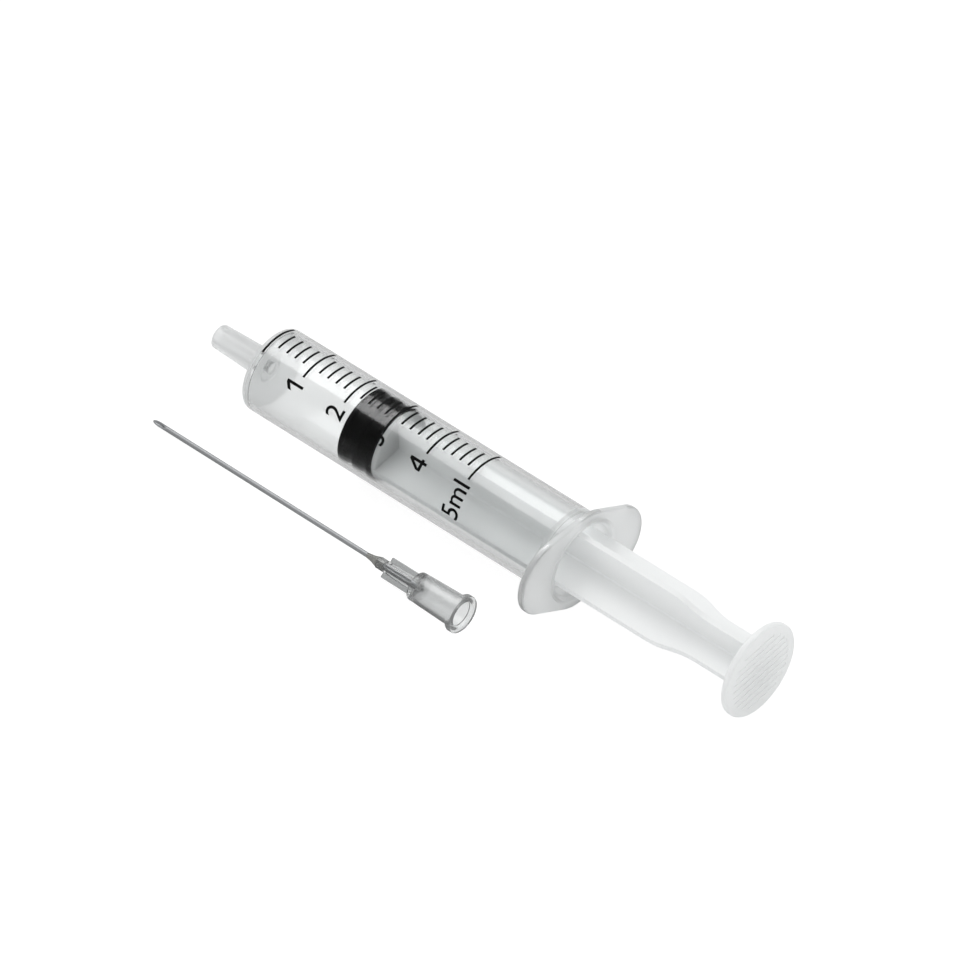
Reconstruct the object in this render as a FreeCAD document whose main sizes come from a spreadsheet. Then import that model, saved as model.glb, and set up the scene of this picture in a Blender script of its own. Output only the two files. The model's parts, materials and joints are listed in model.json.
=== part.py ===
import FreeCAD, Part
import Sketcher
import math
import os

# A 5 ml disposable syringe lying on its side, with its needle taken off and lying beside it.
# Millimetres and degrees. Each turned piece is drawn along X from its own zero point:
# the syringe's pieces from the front face of the barrel, the needle's pieces from the needle's point.
# The syringe's thumb end is towards +X, and Z is up once the pieces are laid down.
sizes = {
    # Barrel: a clear moulding. The bore and the volume per line fix the scale's spacing.
    "bore_radius": 6.2,
    "barrel_wall": 0.8,
    "barrel_length": 62.5,
    "floor_edge": 0.95,
    "floor_rise": 0.6,
    "shoulder_round": 0.7,
    "nozzle_length": 10.7,
    "nozzle_tip_radius": 1.99,
    "nozzle_taper": 0.03,
    "nozzle_bore_radius": 1.0,
    "nozzle_tip_round": 0.2,
    "nozzle_root_round": 0.4,
    "bead_height": 0.2,
    "bead_width": 1.2,
    "bead_inset": 3.6,
    "lead_in": 0.45,
    # Finger flange: two lobes joined to a round middle by straight edges.
    "flange_thickness": 1.3,
    "flange_reach": 7.5,
    "flange_lobe_radius": 6.35,
    "flange_middle_radius": 8.35,
    "flange_edge_round": 0.35,
    "flange_root_round": 0.4,
    # Printed scale.
    "zero_line": 0.97,
    "full_volume": 5.0,
    "line_volume": 0.2,
    "lines_per_long": 5,
    "line_width": 0.38,
    "ink_thickness": 0.03,
    "long_line_angle": 62.0,
    "short_line_angle": 31.0,
    "scale_turn": 10.4,
    # Rubber stopper, where it stands in the barrel at rest.
    "stopper_front": 19.1,
    "stopper_clearance": 0.03,
    "rib_count": 3,
    "seal_width": 0.8,
    "groove_width": 2.0,
    "groove_depth": 0.5,
    "seal_round": 0.2,
    "nose_height": 0.5,
    "nose_radius": 1.6,
    "nose_land": 0.5,
    # Plunger rod: head inside the stopper, front disc, four ribs, waist and thumb disc.
    "head_clearance": 0.05,
    "head_tip_radius": 1.7,
    "head_radius": 3.0,
    "head_length": 2.2,
    "neck_radius": 1.9,
    "neck_length": 1.5,
    "disc_radius": 5.8,
    "disc_thickness": 0.9,
    "vane_reach": 5.9,
    "vane_thickness": 1.0,
    "vane_root_round": 0.35,
    "waist_start": 81.6,
    "waist_end": 86.1,
    "waist_reach": 4.5,
    "waist_round": 13.5,
    "rod_end": 97.2,
    "thumb_radius": 7.85,
    "thumb_thickness": 1.2,
    "thumb_round": 0.35,
    "ridge_field_radius": 6.3,
    "ridge_count": 10,
    "ridge_pitch": 1.2,
    "ridge_gap": 0.5,
    "ridge_depth": 0.12,
    "rod_turn": 3.7,
    # Needle: steel cannula, moulded hub and the glue that joins them.
    "cannula_radius": 0.4,
    "cannula_bore_radius": 0.26,
    "bevel_length": 3.3,
    "needle_length": 63.8,
    "socket_depth": 8.2,
    "socket_mouth_radius": 2.15,
    "socket_wall": 0.45,
    "socket_floor": 1.2,
    "rim_radius": 3.13,
    "rim_thickness": 0.95,
    "rim_round": 0.15,
    "neck_of_hub_radius": 1.15,
    "nose_of_hub_radius": 0.95,
    "nose_of_hub_length": 1.7,
    "fin_radius": 1.75,
    "fin_thickness": 0.5,
    "fin_length": 6.0,
    "fin_count": 4,
    "glue_well_radius": 0.68,
    "glue_well_depth": 1.4,
    "glue_radius": 0.85,
    "glue_length": 2.2,
    # Where the needle lies: its point, measured from the barrel's front face, and its directions.
    "needle_point_x": -10.45,
    "needle_point_y": -15.45,
    "needle_yaw": -0.97,
    "needle_turn": 35.0,
}

doc = FreeCAD.newDocument("syringe")
sheet = doc.addObject("Spreadsheet::Sheet", "sizes")
for row, (word, value) in enumerate(sizes.items(), start=1):
    sheet.set("A%d" % row, str(value))
    sheet.setAlias("A%d" % row, word)
doc.recompute()

X_AXIS = FreeCAD.Vector(1, 0, 0)
Y_AXIS = FreeCAD.Vector(0, 1, 0)
Z_AXIS = FreeCAD.Vector(0, 0, 1)
HERE = FreeCAD.Vector(0, 0, 0)

# Lengths that several pieces share, written for the sheet's expressions.
BARREL_RADIUS = "(sizes.bore_radius + sizes.barrel_wall)"
FLANGE_FRONT = "(sizes.barrel_length - sizes.flange_thickness)"
ML_PITCH = "(1000 / (pi * sizes.bore_radius ^ 2))"
STOPPER_LENGTH = "(sizes.rib_count * sizes.seal_width + (sizes.rib_count - 1) * sizes.groove_width)"
STOPPER_REAR = "(sizes.stopper_front + " + STOPPER_LENGTH + ")"
SEAL_RADIUS = "(sizes.bore_radius - sizes.stopper_clearance)"
DISC_FRONT = "(" + STOPPER_REAR + " + sizes.head_clearance)"
DISC_REAR = "(" + DISC_FRONT + " + sizes.disc_thickness)"
HEAD_REAR = "(" + DISC_FRONT + " - sizes.neck_length)"
HEAD_FRONT = "(" + HEAD_REAR + " - sizes.head_length)"
THUMB_FRONT = "(sizes.rod_end - sizes.thumb_thickness)"
SOCKET_FRONT = "(sizes.needle_length - sizes.socket_depth - sizes.socket_floor)"
SOCKET_FLOOR = "(sizes.needle_length - sizes.socket_depth)"
SOCKET_FLOOR_RADIUS = "(sizes.socket_mouth_radius - sizes.nozzle_taper * sizes.socket_depth)"
RIM_FRONT = "(sizes.needle_length - sizes.rim_thickness)"
FIN_FRONT = "(" + SOCKET_FRONT + " - sizes.fin_length)"
HUB_FRONT = "(" + FIN_FRONT + " - sizes.nose_of_hub_length)"
GLUE_FRONT = "(" + HUB_FRONT + " - sizes.glue_length)"


def new_body(label):
    body = doc.addObject("PartDesign::Body", label)
    body.Label = label
    return body


def origin_item(body, role):
    return [item for item in body.Origin.OriginFeatures if item.Role == role][0]


def new_sketch(body, name, role, lift=None):
    sketch = body.newObject("Sketcher::SketchObject", name)
    sketch.AttachmentSupport = [(origin_item(body, role), "")]
    sketch.MapMode = "FlatFace"
    if lift:
        sketch.setExpression(".AttachmentOffset.Base.z", lift)
    return sketch


def set_size(sketch, constraint, expression):
    number = sketch.addConstraint(constraint)
    sketch.setExpression("Constraints[%d]" % number, expression)


def outline(body, name, role, corners, lift=None):
    """A closed outline of straight lines. Each corner is a pair of expressions."""
    sketch = new_sketch(body, name, role, lift)
    count = len(corners)
    ring = [2 * math.pi * i / count for i in range(count)]
    start = [FreeCAD.Vector(9 * math.cos(turn), 9 * math.sin(turn), 0) for turn in ring]
    for i in range(count):
        sketch.addGeometry(Part.LineSegment(start[i], start[(i + 1) % count]), False)
    for i in range(count):
        sketch.addConstraint(Sketcher.Constraint("Coincident", i, 2, (i + 1) % count, 1))
    for i, (across, up) in enumerate(corners):
        set_size(sketch, Sketcher.Constraint("DistanceX", -1, 1, i, 1, start[i].x), across)
        set_size(sketch, Sketcher.Constraint("DistanceY", -1, 1, i, 1, start[i].y), up)
    return sketch


def turned(body, name, corners, kind="PartDesign::Revolution"):
    """A shape turned about X from an outline in the XY plane."""
    shape = body.newObject(kind, name)
    shape.Profile = outline(body, name + "_outline", "XY_Plane", corners)
    shape.ReferenceAxis = (shape.Profile[0], ["H_Axis"])
    shape.Angle = 360
    doc.recompute()
    return shape


def pad(body, name, sketch, length, midplane=False):
    shape = body.newObject("PartDesign::Pad", name)
    shape.Profile = sketch
    shape.setExpression("Length", length)
    shape.Midplane = midplane
    doc.recompute()
    return shape


def pocket(body, name, sketch, depth, midplane=False):
    before = body.Shape.Volume
    shape = body.newObject("PartDesign::Pocket", name)
    shape.Profile = sketch
    shape.setExpression("Length", depth)
    shape.Midplane = midplane
    doc.recompute()
    if not shape.Shape.Volume < before - 1e-6:
        raise SystemExit(name + " cuts nothing")
    return shape


def rounded(body, name, radius, wanted):
    """Rounds the edges of the body's tip that wanted(edge) picks."""
    base = body.Tip
    names = ["Edge%d" % (i + 1) for i, edge in enumerate(base.Shape.Edges) if wanted(edge)]
    if not names:
        raise SystemExit(name + " finds no edge")
    shape = body.newObject("PartDesign::Fillet", name)
    shape.Base = (base, names)
    shape.setExpression("Radius", radius)
    doc.recompute()
    return shape


def ring_at(along, radius):
    """Picks circular edges about the X axis at a station and radius."""
    def wanted(edge):
        curve = edge.Curve
        if not isinstance(curve, Part.Circle):
            return False
        centred = abs(curve.Center.y) < 1e-4 and abs(curve.Center.z) < 1e-4
        return centred and abs(curve.Center.x - along) < 1e-3 and abs(curve.Radius - radius) < 1e-3
    return wanted


def edge_on_plane(along, beyond):
    """Picks the edges in the plane across X at a station that lie further out than a radius."""
    def wanted(edge):
        box = edge.BoundBox
        flat = abs(box.XMin - along) < 1e-3 and abs(box.XMax - along) < 1e-3
        middle = edge.valueAt((edge.FirstParameter + edge.LastParameter) / 2)
        return flat and math.hypot(middle.y, middle.z) > beyond
    return wanted


# The same lengths as numbers, for picking edges and for laying the pieces down.
barrel_radius = sizes["bore_radius"] + sizes["barrel_wall"]
flange_front = sizes["barrel_length"] - sizes["flange_thickness"]
nozzle_root_radius = sizes["nozzle_tip_radius"] + sizes["nozzle_taper"] * (sizes["nozzle_length"] - sizes["floor_rise"])
lobe_slope = math.asin((sizes["flange_middle_radius"] - sizes["flange_lobe_radius"]) / sizes["flange_reach"])


def flange_outline(body):
    """Two lobe arcs and two middle arcs, joined by four lines that touch them."""
    sketch = new_sketch(body, "flange_outline", "YZ_Plane", FLANGE_FRONT)
    lobe = sizes["flange_lobe_radius"]
    middle = sizes["flange_middle_radius"]
    reach = sizes["flange_reach"]
    quarter = math.pi / 2

    def arc(centre, radius, start, end):
        circle = Part.Circle(FreeCAD.Vector(centre, 0, 0), Z_AXIS, radius)
        return sketch.addGeometry(Part.ArcOfCircle(circle, start, end), False)

    def rim(centre, radius, turn):
        return FreeCAD.Vector(centre + radius * math.cos(turn), radius * math.sin(turn), 0)

    up = quarter - lobe_slope
    right = arc(reach, lobe, -up, up)
    top = arc(0, middle, up, math.pi - up)
    left = arc(-reach, lobe, math.pi - up, math.pi + up)
    bottom = arc(0, middle, math.pi + up, 2 * math.pi - up)
    loop = [right, top, left, bottom]
    centres = [reach, 0, -reach, 0]
    radii = [lobe, middle, lobe, middle]
    joints = [up, math.pi - up, math.pi + up, 2 * math.pi - up]
    for i, turn in enumerate(joints):
        after = (i + 1) % 4
        start = rim(centres[i], radii[i], turn)
        end = rim(centres[after], radii[after], turn)
        line = sketch.addGeometry(Part.LineSegment(start, end), False)
        sketch.addConstraint(Sketcher.Constraint("Tangent", loop[i], 2, line, 1))
        sketch.addConstraint(Sketcher.Constraint("Tangent", line, 2, loop[after], 1))
    for geometry, side, radius in (
        (right, "sizes.flange_reach", "sizes.flange_lobe_radius"),
        (top, "0", "sizes.flange_middle_radius"),
        (left, "-sizes.flange_reach", "sizes.flange_lobe_radius"),
        (bottom, "0", "sizes.flange_middle_radius"),
    ):
        place = centres[loop.index(geometry)]
        set_size(sketch, Sketcher.Constraint("DistanceX", -1, 1, geometry, 3, place), side)
        set_size(sketch, Sketcher.Constraint("DistanceY", -1, 1, geometry, 3, 0), "0")
        set_size(sketch, Sketcher.Constraint("Radius", geometry, radii[loop.index(geometry)]), radius)
    return sketch


def make_barrel():
    """Tube, shoulder, slip nozzle and finger flange, moulded in one."""
    body = new_body("barrel")
    turned(body, "tube", [
        ("-sizes.nozzle_length", "0"),
        ("-sizes.nozzle_length", "sizes.nozzle_tip_radius"),
        ("-sizes.floor_rise", "sizes.nozzle_tip_radius + sizes.nozzle_taper * (sizes.nozzle_length - sizes.floor_rise)"),
        ("0", BARREL_RADIUS),
        ("sizes.barrel_length", BARREL_RADIUS),
        ("sizes.barrel_length", "0"),
    ])
    pad(body, "flange", flange_outline(body), "sizes.flange_thickness")
    bead_middle = "sizes.barrel_length - sizes.bead_inset"
    turned(body, "bore", [
        ("-sizes.nozzle_length", "0"),
        ("-sizes.nozzle_length", "sizes.nozzle_bore_radius"),
        ("sizes.floor_edge - sizes.floor_rise", "sizes.nozzle_bore_radius"),
        ("sizes.floor_edge", "sizes.bore_radius"),
        (bead_middle + " - sizes.bead_width / 2", "sizes.bore_radius"),
        (bead_middle, "sizes.bore_radius - sizes.bead_height"),
        (bead_middle + " + sizes.bead_width / 2", "sizes.bore_radius"),
        ("sizes.barrel_length - sizes.lead_in", "sizes.bore_radius"),
        ("sizes.barrel_length", "sizes.bore_radius + sizes.lead_in"),
        ("sizes.barrel_length", "0"),
    ], "PartDesign::Groove")
    rounded(body, "shoulder_rounding", "sizes.shoulder_round", ring_at(0, barrel_radius))
    tip_ring = ring_at(-sizes["nozzle_length"], sizes["nozzle_tip_radius"])
    rounded(body, "nozzle_tip_rounding", "sizes.nozzle_tip_round", tip_ring)
    root_ring = ring_at(-sizes["floor_rise"], nozzle_root_radius)
    rounded(body, "nozzle_root_rounding", "sizes.nozzle_root_round", root_ring)
    rounded(body, "flange_root_rounding", "sizes.flange_root_round", ring_at(flange_front, barrel_radius))
    front_edges = edge_on_plane(flange_front, sizes["flange_middle_radius"] - 0.1)
    rounded(body, "flange_front_rounding", "sizes.flange_edge_round", front_edges)
    rear_edges = edge_on_plane(sizes["barrel_length"], sizes["flange_middle_radius"] - 0.1)
    rounded(body, "flange_rear_rounding", "sizes.flange_edge_round", rear_edges)
    return body


def make_line_row(body, name, angle, spacing, count):
    """Ink lines: one ring segment on the top of the barrel, repeated along the scale."""
    inner = barrel_radius
    outer = barrel_radius + sizes["ink_thickness"]
    half = math.radians(sizes[angle]) / 2
    sketch = new_sketch(body, name + "_outline", "YZ_Plane", "sizes.zero_line - sizes.line_width / 2")
    sides = []
    for radius, size in ((inner, BARREL_RADIUS), (outer, BARREL_RADIUS + " + sizes.ink_thickness")):
        circle = Part.Circle(HERE, Z_AXIS, radius)
        arc = sketch.addGeometry(Part.ArcOfCircle(circle, math.pi / 2 - half, math.pi / 2 + half), False)
        sketch.addConstraint(Sketcher.Constraint("Coincident", arc, 3, -1, 1))
        set_size(sketch, Sketcher.Constraint("Radius", arc, radius), size)
        reach = "(" + size + ") * sin(sizes." + angle + " / 2)"
        width = radius * math.sin(half)
        set_size(sketch, Sketcher.Constraint("DistanceX", -1, 1, arc, 1, width), reach)
        set_size(sketch, Sketcher.Constraint("DistanceX", -1, 1, arc, 2, -width), "-" + reach)
        sides.append(arc)
    height = math.cos(half)
    for side, end in ((1, 1), (-1, 2)):
        near = FreeCAD.Vector(side * inner * math.sin(half), inner * height, 0)
        far = FreeCAD.Vector(side * outer * math.sin(half), outer * height, 0)
        line = sketch.addGeometry(Part.LineSegment(near, far), False)
        sketch.addConstraint(Sketcher.Constraint("Coincident", line, 1, sides[0], end))
        sketch.addConstraint(Sketcher.Constraint("Coincident", line, 2, sides[1], end))
    line_pad = pad(body, name, sketch, "sizes.line_width")
    row = body.newObject("PartDesign::LinearPattern", name + "_row")
    row.Originals = [line_pad]
    row.Direction = (origin_item(body, "X_Axis"), [""])
    row.setExpression("Occurrences", count)
    row.setExpression("Length", "(" + count + " - 1) * " + spacing)
    body.Tip = row
    doc.recompute()


def make_scale():
    """A line for each fifth of a millilitre, and a longer one for each whole millilitre."""
    body = new_body("scale_marks")
    lines = "(sizes.full_volume / sizes.line_volume + 1)"
    long_lines = "(sizes.full_volume / (sizes.line_volume * sizes.lines_per_long) + 1)"
    make_line_row(body, "short_line", "short_line_angle", ML_PITCH + " * sizes.line_volume", lines)
    long_spacing = ML_PITCH + " * sizes.line_volume * sizes.lines_per_long"
    make_line_row(body, "long_line", "long_line_angle", long_spacing, long_lines)
    return body


def make_stopper():
    """Rubber stopper: blunt nose, sealing ribs with grooves between them, and a cavity for the head."""
    body = new_body("stopper")
    nose_edge = SEAL_RADIUS + " - sizes.nose_land"
    corners = [
        ("sizes.stopper_front - sizes.nose_height", "0"),
        ("sizes.stopper_front - sizes.nose_height", "sizes.nose_radius"),
        ("sizes.stopper_front", nose_edge),
    ]
    step = "(sizes.seal_width + sizes.groove_width)"
    for rib in range(sizes["rib_count"]):
        start = "sizes.stopper_front + %d * %s" % (rib, step)
        corners.append((start, SEAL_RADIUS))
        corners.append((start + " + sizes.seal_width", SEAL_RADIUS))
        if rib < sizes["rib_count"] - 1:
            corners.append((start + " + sizes.seal_width", SEAL_RADIUS + " - sizes.groove_depth"))
            corners.append((start + " + " + step, SEAL_RADIUS + " - sizes.groove_depth"))
    corners.append((STOPPER_REAR, "0"))
    turned(body, "plug", corners)
    gap = "sizes.head_clearance"
    turned(body, "head_cavity", [
        (HEAD_FRONT + " - " + gap, "0"),
        (HEAD_FRONT + " - " + gap, "sizes.head_tip_radius + " + gap),
        (HEAD_REAR + " + " + gap, "sizes.head_radius + " + gap),
        (HEAD_REAR + " + " + gap, "sizes.neck_radius + " + gap),
        (STOPPER_REAR, "sizes.neck_radius + " + gap),
        (STOPPER_REAR, "0"),
    ], "PartDesign::Groove")
    seal_radius = sizes["bore_radius"] - sizes["stopper_clearance"]
    rounded(body, "seal_rounding", "sizes.seal_round", lambda edge: (
        isinstance(edge.Curve, Part.Circle) and abs(edge.Curve.Radius - seal_radius) < 1e-3))
    return body


def vane(body, name, role):
    """One full-width web through the axis: two of the four ribs, with the waist before the thumb disc."""
    steps = [
        (DISC_REAR, "sizes.vane_reach"),
        ("sizes.waist_start", "sizes.vane_reach"),
        ("sizes.waist_end", "sizes.waist_reach"),
        (THUMB_FRONT, "sizes.waist_reach"),
    ]
    mirrored = [(along, "-" + out) for along, out in reversed(steps)]
    pad(body, name, outline(body, name + "_outline", role, steps + mirrored), "sizes.vane_thickness", True)


def waist_corner(edge):
    """Picks the short straight edges across a web at the two ends of its waist."""
    if not isinstance(edge.Curve, Part.Line):
        return False
    ends = [vertex.Point for vertex in edge.Vertexes]
    if abs(ends[0].x - ends[1].x) > 1e-4:
        return False
    near_start = abs(ends[0].x - sizes["waist_start"]) < 1e-3
    near_end = abs(ends[0].x - sizes["waist_end"]) < 1e-3
    return near_start or near_end


def web_root(edge):
    """Picks the four long inner edges where the webs cross."""
    if not isinstance(edge.Curve, Part.Line) or edge.Length < sizes["vane_reach"]:
        return False
    half = sizes["vane_thickness"] / 2
    return all(abs(abs(v.Point.y) - half) < 1e-3 and abs(abs(v.Point.z) - half) < 1e-3 for v in edge.Vertexes)


def make_plunger_rod():
    """Snap-in head, neck, front disc, crossed webs with a waist, and a ridged thumb disc."""
    body = new_body("plunger_rod")
    turned(body, "head_and_disc", [
        (HEAD_FRONT, "0"),
        (HEAD_FRONT, "sizes.head_tip_radius"),
        (HEAD_REAR, "sizes.head_radius"),
        (HEAD_REAR, "sizes.neck_radius"),
        (DISC_FRONT, "sizes.neck_radius"),
        (DISC_FRONT, "sizes.disc_radius"),
        (DISC_REAR, "sizes.disc_radius"),
        (DISC_REAR, "0"),
    ])
    vane(body, "upright_web", "XZ_Plane")
    vane(body, "level_web", "XY_Plane")
    rounded(body, "waist_rounding", "sizes.waist_round", waist_corner)
    rounded(body, "web_root_rounding", "sizes.vane_root_round", web_root)
    turned(body, "thumb_disc", [
        (THUMB_FRONT, "0"),
        (THUMB_FRONT, "sizes.thumb_radius"),
        ("sizes.rod_end", "sizes.thumb_radius"),
        ("sizes.rod_end", "0"),
    ])
    rounded(body, "thumb_rounding", "sizes.thumb_round", lambda edge: (
        isinstance(edge.Curve, Part.Circle) and abs(edge.Curve.Radius - sizes["thumb_radius"]) < 1e-3))
    ridge_grooves(body)
    return body


def ridge_grooves(body):
    """Parallel grooves in the thumb face, each as long as the round field is wide there."""
    middle = (sizes["ridge_count"] - 1) / 2
    sketch = new_sketch(body, "grooves_outline", "YZ_Plane", "sizes.rod_end")
    for number in range(sizes["ridge_count"]):
        level = "(%.1f * sizes.ridge_pitch)" % (number - middle)
        reach = "sqrt(sizes.ridge_field_radius ^ 2 - " + level + " ^ 2)"
        corners = [
            ("-" + reach, level + " - sizes.ridge_gap / 2"),
            (reach, level + " - sizes.ridge_gap / 2"),
            (reach, level + " + sizes.ridge_gap / 2"),
            ("-" + reach, level + " + sizes.ridge_gap / 2"),
        ]
        first = len(sketch.Geometry)
        height = (number - middle) * sizes["ridge_pitch"]
        guess = [(-3, height - 0.2), (3, height - 0.2), (3, height + 0.2), (-3, height + 0.2)]
        points = [FreeCAD.Vector(across, up, 0) for across, up in guess]
        for i in range(4):
            sketch.addGeometry(Part.LineSegment(points[i], points[(i + 1) % 4]), False)
        for i in range(4):
            joined = Sketcher.Constraint("Coincident", first + i, 2, first + (i + 1) % 4, 1)
            sketch.addConstraint(joined)
        for i, (across, up) in enumerate(corners):
            set_size(sketch, Sketcher.Constraint("DistanceX", -1, 1, first + i, 1, points[i].x), across)
            set_size(sketch, Sketcher.Constraint("DistanceY", -1, 1, first + i, 1, points[i].y), up)
    pocket(body, "ridge_grooves", sketch, "sizes.ridge_depth")


def make_hub():
    """Female socket with a rim, a nose with a glue well, and four fins."""
    body = new_body("needle_hub")
    outer = "sizes.socket_wall + "
    turned(body, "shell", [
        (HUB_FRONT, "0"),
        (HUB_FRONT, "sizes.nose_of_hub_radius"),
        (FIN_FRONT, "sizes.nose_of_hub_radius"),
        (SOCKET_FRONT, "sizes.neck_of_hub_radius"),
        (SOCKET_FRONT, outer + SOCKET_FLOOR_RADIUS),
        (RIM_FRONT, outer + "sizes.socket_mouth_radius - sizes.nozzle_taper * sizes.rim_thickness"),
        (RIM_FRONT, "sizes.rim_radius"),
        ("sizes.needle_length", "sizes.rim_radius"),
        ("sizes.needle_length", "0"),
    ])
    fin_back = SOCKET_FRONT + " + sizes.socket_floor / 2"
    fin = pad(body, "fin", outline(body, "fin_outline", "XY_Plane", [
        (FIN_FRONT, "0"),
        (FIN_FRONT, "sizes.fin_radius"),
        (fin_back, "sizes.fin_radius"),
        (fin_back, "0"),
    ]), "sizes.fin_thickness", True)
    fins = body.newObject("PartDesign::PolarPattern", "fins")
    fins.Originals = [fin]
    fins.Axis = (origin_item(body, "X_Axis"), [""])
    fins.Angle = 360
    fins.setExpression("Occurrences", "sizes.fin_count")
    body.Tip = fins
    doc.recompute()
    turned(body, "socket_and_well", [
        (HUB_FRONT, "0"),
        (HUB_FRONT, "sizes.glue_well_radius"),
        (HUB_FRONT + " + sizes.glue_well_depth", "sizes.glue_well_radius"),
        (HUB_FRONT + " + sizes.glue_well_depth", "sizes.cannula_radius"),
        (SOCKET_FLOOR, "sizes.cannula_radius"),
        (SOCKET_FLOOR, SOCKET_FLOOR_RADIUS),
        ("sizes.needle_length", "sizes.socket_mouth_radius"),
        ("sizes.needle_length", "0"),
    ], "PartDesign::Groove")
    rim_front = sizes["needle_length"] - sizes["rim_thickness"]
    for name, along in (("rim_front_rounding", rim_front), ("rim_rear_rounding", sizes["needle_length"])):
        rounded(body, name, "sizes.rim_round", ring_at(along, sizes["rim_radius"]))
    return body


def make_cannula():
    """Steel tube from its bevelled point to the floor of the hub's socket."""
    body = new_body("needle_cannula")
    turned(body, "tube", [
        ("0", "sizes.cannula_bore_radius"),
        ("0", "sizes.cannula_radius"),
        (SOCKET_FLOOR, "sizes.cannula_radius"),
        (SOCKET_FLOOR, "sizes.cannula_bore_radius"),
    ])
    bevel = outline(body, "bevel_outline", "XZ_Plane", [
        ("-1", "-sizes.cannula_radius"),
        ("0", "-sizes.cannula_radius"),
        ("sizes.bevel_length", "sizes.cannula_radius"),
        ("sizes.bevel_length", "2 * sizes.cannula_radius"),
        ("-1", "2 * sizes.cannula_radius"),
    ])
    pocket(body, "bevel", bevel, "4 * sizes.cannula_radius", True)
    return body


def make_glue():
    """Cured adhesive: a cone in front of the hub, and the ring that fills its well."""
    body = new_body("needle_glue")
    turned(body, "bead", [
        (GLUE_FRONT, "sizes.cannula_radius"),
        (HUB_FRONT, "sizes.glue_radius"),
        (HUB_FRONT, "sizes.glue_well_radius"),
        (HUB_FRONT + " + sizes.glue_well_depth", "sizes.glue_well_radius"),
        (HUB_FRONT + " + sizes.glue_well_depth", "sizes.cannula_radius"),
    ])
    return body


def resting_tilt(near, near_reach, near_round, far, far_reach, far_round):
    """Angle and drop of the floor under two rounded edges of a piece that lies along X."""
    along = (far + far_round) - (near + near_round)
    out = (far_reach - far_round) - (near_reach - near_round)
    return math.atan2(out, along) - math.asin((near_round - far_round) / math.hypot(along, out))


def lay_down(body, tilt, height, turn, x=0.0, y=0.0, yaw=0.0):
    lean = FreeCAD.Rotation(Y_AXIS, -math.degrees(tilt))
    heading = FreeCAD.Rotation(Z_AXIS, yaw)
    rotation = heading.multiply(lean).multiply(FreeCAD.Rotation(X_AXIS, turn))
    body.Placement = FreeCAD.Placement(FreeCAD.Vector(x, y, height), rotation)


barrel = make_barrel()
scale_marks = make_scale()
stopper = make_stopper()
plunger_rod = make_plunger_rod()
needle_hub = make_hub()
needle_cannula = make_cannula()
needle_glue = make_glue()

# The syringe lies on the rounded front edge of its barrel and on one straight edge of its flange.
tilt = resting_tilt(
    0, barrel_radius, sizes["shoulder_round"],
    flange_front, sizes["flange_middle_radius"], sizes["flange_edge_round"],
)
centre_out = barrel_radius - sizes["shoulder_round"]
height = centre_out * math.cos(tilt) - sizes["shoulder_round"] * math.sin(tilt) + sizes["shoulder_round"]
flange_turn = -math.degrees(lobe_slope)
lay_down(barrel, tilt, height, flange_turn)
lay_down(scale_marks, tilt, height, flange_turn + sizes["scale_turn"])
lay_down(stopper, tilt, height, 0)
lay_down(plunger_rod, tilt, height, sizes["rod_turn"])

# The needle lies on its point and on the front edge of its hub's rim.
rim_front = sizes["needle_length"] - sizes["rim_thickness"]
needle_tilt = resting_tilt(0, sizes["cannula_radius"], 0, rim_front, sizes["rim_radius"], sizes["rim_round"])
needle_height = sizes["cannula_radius"] * math.cos(needle_tilt)
for piece in (needle_hub, needle_cannula, needle_glue):
    lay_down(
        piece, needle_tilt, needle_height, sizes["needle_turn"],
        sizes["needle_point_x"], sizes["needle_point_y"], sizes["needle_yaw"],
    )

# The origin is under the middle of everything.
pieces = [barrel, scale_marks, stopper, plunger_rod, needle_hub, needle_cannula, needle_glue]
doc.recompute()
whole = FreeCAD.BoundBox()
for piece in pieces:
    whole.add(piece.Shape.optimalBoundingBox(False, False))
for piece in pieces:
    piece.Placement.move(FreeCAD.Vector(-whole.Center.x, -whole.Center.y, 0))
doc.recompute()

for item in doc.Objects:
    if "Invalid" in item.State or "Error" in item.State:
        raise SystemExit("failed: " + item.Name)
for piece in pieces:
    if piece.Shape.isNull() or not piece.Shape.isValid():
        raise SystemExit("bad shape: " + piece.Label)

os.makedirs("parts", exist_ok=True)
for piece in pieces:
    piece.Shape.exportStep("parts/" + piece.Label + ".step")
    print(piece.Label, len(piece.Shape.Solids), "solids, volume", round(piece.Shape.Volume, 2))
    print("  placed at", piece.Placement)
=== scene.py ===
import bpy
import json
import math
from mathutils import Matrix, Vector


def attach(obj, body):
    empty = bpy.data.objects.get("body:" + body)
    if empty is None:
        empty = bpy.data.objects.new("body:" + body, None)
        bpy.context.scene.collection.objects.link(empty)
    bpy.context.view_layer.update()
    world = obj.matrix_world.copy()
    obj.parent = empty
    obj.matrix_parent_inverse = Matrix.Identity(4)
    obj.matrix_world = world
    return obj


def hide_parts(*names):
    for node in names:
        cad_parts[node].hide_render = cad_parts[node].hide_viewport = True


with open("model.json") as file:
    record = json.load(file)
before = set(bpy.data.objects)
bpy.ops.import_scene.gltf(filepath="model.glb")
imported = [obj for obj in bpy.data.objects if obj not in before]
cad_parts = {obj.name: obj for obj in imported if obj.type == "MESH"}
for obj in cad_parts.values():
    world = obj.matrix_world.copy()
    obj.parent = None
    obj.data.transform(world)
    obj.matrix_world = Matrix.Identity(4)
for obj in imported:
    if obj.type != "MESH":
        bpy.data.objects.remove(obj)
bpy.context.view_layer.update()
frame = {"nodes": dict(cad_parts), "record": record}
mm = 0.001
mounts = {mount["name"]: mount for mount in frame["record"]["mounts"]}
print("frame loaded")

# where the pieces lie. Each is made along X, with its zero at the barrel's front wall or at the needle's point

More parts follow.
